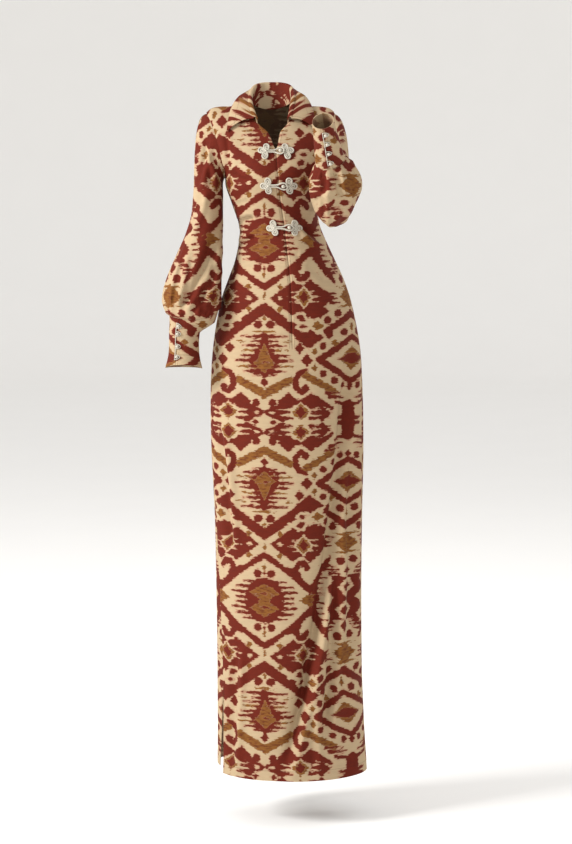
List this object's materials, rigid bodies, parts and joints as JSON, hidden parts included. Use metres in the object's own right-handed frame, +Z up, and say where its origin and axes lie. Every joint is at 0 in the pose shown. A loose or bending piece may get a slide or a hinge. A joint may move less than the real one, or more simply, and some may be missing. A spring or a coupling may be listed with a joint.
{
  "type": "hostess dress",
  "caption": "Floor-length long-sleeved dress in ikat print cotton with a pointed collar, cord frog closures, bishop sleeves in buttoned cuffs and side slits, held in its worn shape",
  "frame": {"origin": "middle of the neck, at the height where the shoulder seams meet the collar, which is where the wearer carries the dress", "axes": "+Z up, the front faces -Y, +X to the wearer's left"},
  "size_m": [0.4497, 0.4683, 1.5166],
  "materials": {
    "ikat_cloth": "matte plain-weave cotton, printed in brick red, ochre and cream",
    "cord": "ivory rouleau cord and cord buttons with a low sheen"
  },
  "bodies": {
    "root": {"back": "ikat_cloth", "front_right": "ikat_cloth", "front_left": "ikat_cloth", "collar": "ikat_cloth", "sleeve_right": "ikat_cloth", "sleeve_left": "ikat_cloth", "cuff_right": "ikat_cloth", "cuff_left": "ikat_cloth", "cuff_right_loops": "cord", "cuff_left_loops": "cord", "cuff_right_button_1": "cord", "cuff_right_button_2": "cord", "cuff_right_button_3": "cord", "cuff_right_button_4": "cord", "cuff_left_button_1": "cord", "cuff_left_button_2": "cord", "cuff_left_button_3": "cord", "cuff_left_button_4": "cord", "frog_1_loop": "cord", "frog_1_knot": "cord", "frog_2_loop": "cord", "frog_2_knot": "cord", "frog_3_loop": "cord", "frog_3_knot": "cord"}
  },
  "joints": []
}
